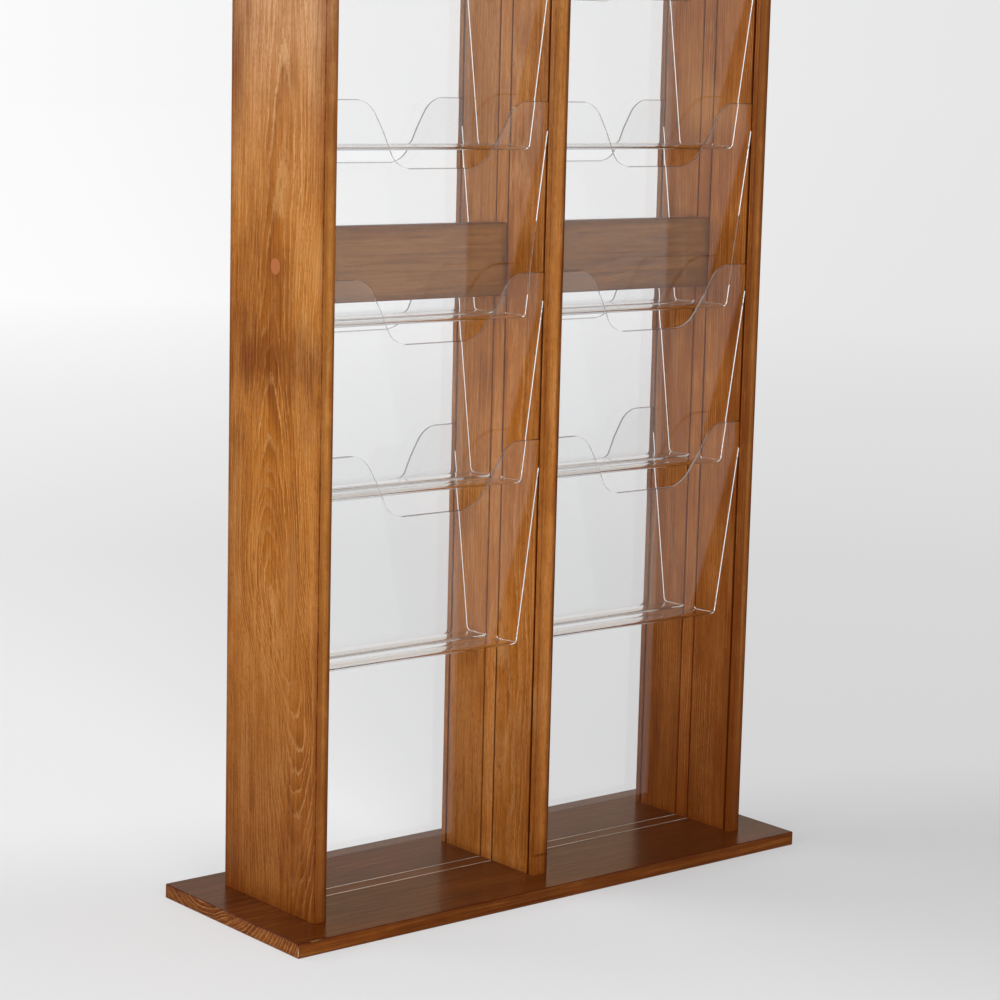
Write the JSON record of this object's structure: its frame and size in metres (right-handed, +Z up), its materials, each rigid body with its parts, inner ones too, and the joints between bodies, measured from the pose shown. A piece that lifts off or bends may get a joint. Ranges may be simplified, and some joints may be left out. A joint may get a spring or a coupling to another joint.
{
  "type": "periodical display rack",
  "caption": "Tall double-sided floor rack: grooved wooden uprights on a base board hold stacks of clear bent pockets for periodicals, each with a finger scoop.",
  "frame": {"origin": "middle of the underside of the base board, on the floor", "axes": "+Z up; +X to the right along the rack; the front face looks to -Y and the rear face to +Y"},
  "size_m": [0.856, 0.3, 1.738],
  "materials": {
    "base_wood": "dark brown stained hardwood, satin lacquer",
    "upright_wood": "honey brown stained hardwood, satin lacquer",
    "top_wood": "honey brown stained hardwood, satin lacquer",
    "rail_wood": "brown stained hardwood, satin lacquer",
    "clear_sheet": "clear bent acrylic sheet with polished edges",
    "plug_wood": "stained wooden plug, sanded flush",
    "dowel_wood": "bare wood"
  },
  "bodies": {
    "root": {"base_board": "base_wood", "left_upright": "upright_wood", "centre_upright": "upright_wood", "right_upright": "upright_wood", "top_board": "top_wood", "left_rail": "rail_wood", "right_rail": "rail_wood", "front_left_lower_panel": "clear_sheet", "front_left_upper_panel": "clear_sheet", "front_left_pocket_1": "clear_sheet", "front_left_pocket_2": "clear_sheet", "front_left_pocket_3": "clear_sheet", "front_left_pocket_4": "clear_sheet", "front_left_pocket_5": "clear_sheet", "front_left_pocket_6": "clear_sheet", "front_right_lower_panel": "clear_sheet", "front_right_upper_panel": "clear_sheet", "front_right_pocket_1": "clear_sheet", "front_right_pocket_2": "clear_sheet", "front_right_pocket_3": "clear_sheet", "front_right_pocket_4": "clear_sheet", "front_right_pocket_5": "clear_sheet", "front_right_pocket_6": "clear_sheet", "rear_left_lower_panel": "clear_sheet", "rear_left_upper_panel": "clear_sheet", "rear_left_pocket_1": "clear_sheet", "rear_left_pocket_2": "clear_sheet", "rear_left_pocket_3": "clear_sheet", "rear_left_pocket_4": "clear_sheet", "rear_left_pocket_5": "clear_sheet", "rear_left_pocket_6": "clear_sheet", "rear_right_lower_panel": "clear_sheet", "rear_right_upper_panel": "clear_sheet", "rear_right_pocket_1": "clear_sheet", "rear_right_pocket_2": "clear_sheet", "rear_right_pocket_3": "clear_sheet", "rear_right_pocket_4": "clear_sheet", "rear_right_pocket_5": "clear_sheet", "rear_right_pocket_6": "clear_sheet", "rail_plugs": "plug_wood", "rail_dowels": "dowel_wood"}
  },
  "joints": []
}
